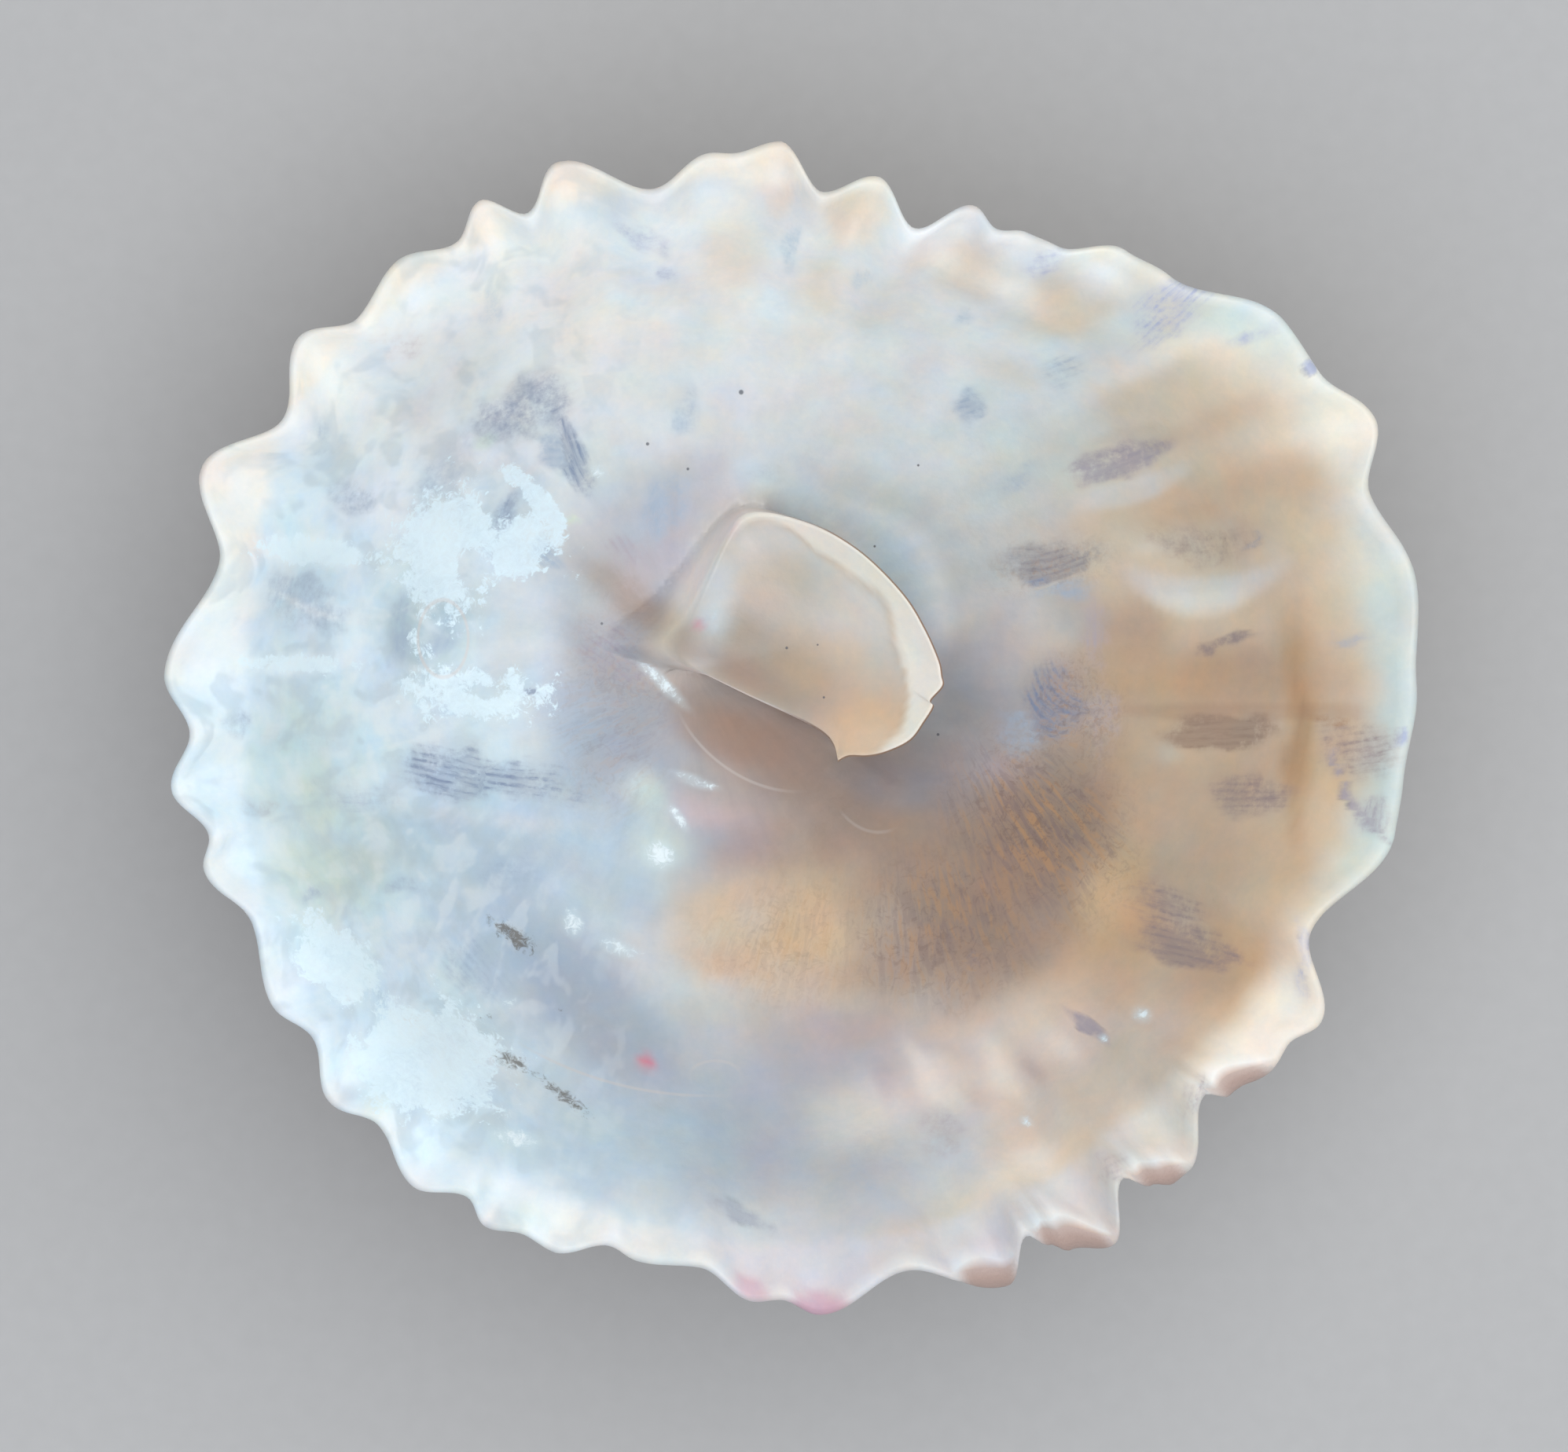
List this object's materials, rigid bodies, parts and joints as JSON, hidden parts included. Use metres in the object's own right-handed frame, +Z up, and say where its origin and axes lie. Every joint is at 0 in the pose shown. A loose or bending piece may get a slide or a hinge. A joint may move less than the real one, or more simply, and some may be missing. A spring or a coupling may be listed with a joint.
{
  "type": "cup-and-saucer shell",
  "caption": "Sea shell shaped like a shallow ribbed bowl with a scalloped margin and a half-cup grown on its floor, lying on its worn apex.",
  "frame": {"origin": "middle of the flat spot worn on the outside at the apex, on the surface that the shell rests on", "axes": "+Z up through the open side, +X along the longest width towards the side with the broad smooth rim, +Y towards the narrow side of the outline"},
  "size_m": [0.0399, 0.0374, 0.0124],
  "materials": {
    "aragonite": "glossy and slightly translucent inside, chalky outside"
  },
  "bodies": {
    "root": {"shell": "aragonite"}
  },
  "joints": []
}
